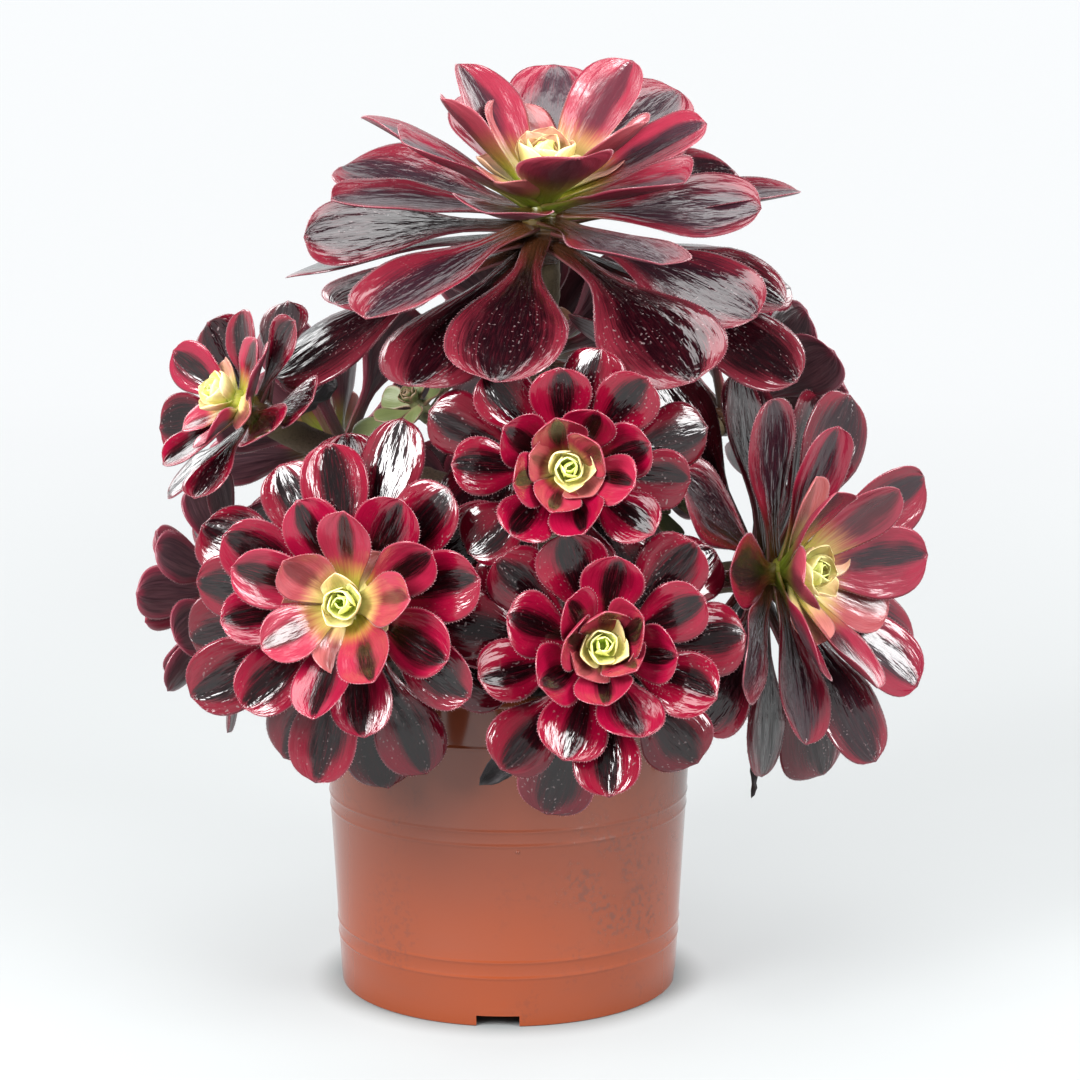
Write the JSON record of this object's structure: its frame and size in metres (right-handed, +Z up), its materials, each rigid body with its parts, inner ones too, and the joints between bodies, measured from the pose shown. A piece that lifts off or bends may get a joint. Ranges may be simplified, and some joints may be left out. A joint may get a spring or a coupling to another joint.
{
  "type": "potted aeonium",
  "caption": "Potted aeonium: a branched dark-red succulent with rosettes of spoon-shaped leaves, standing in soil in a round tapered nursery pot.",
  "frame": {"origin": "centre of the pot's base, on the surface that it stands on", "axes": "+Z up along the pot's axis; -Y towards the viewer, the side that the crowning rosette leans to; +X to the viewer's right"},
  "size_m": [0.3517, 0.3209, 0.4168],
  "materials": {
    "pot_plastic": "glossy terracotta-coloured plastic with faint dust",
    "soil": "coarse dark potting mix of peat and bark",
    "bark": "grey-brown to olive-green bark with leaf scars",
    "leaf_red": "glossy dark burgundy to black leaves with crimson margins, salmon young leaves and a yellow-green heart",
    "leaf_green": "semi-matt grey-green young leaves"
  },
  "bodies": {
    "root": {"pot": "pot_plastic", "soil": "soil", "stem": "bark", "rosette_top": "leaf_red", "rosette_front_left": "leaf_red", "rosette_front_low": "leaf_red", "rosette_front_middle": "leaf_red", "rosette_right": "leaf_red", "rosette_left_upper": "leaf_red", "rosette_left_low": "leaf_red", "rosette_right_back": "leaf_red", "rosette_back_low": "leaf_red", "rosette_back_left": "leaf_red", "rosette_back_upper": "leaf_red", "shoot_left": "leaf_green", "shoot_right": "leaf_green"}
  },
  "joints": []
}
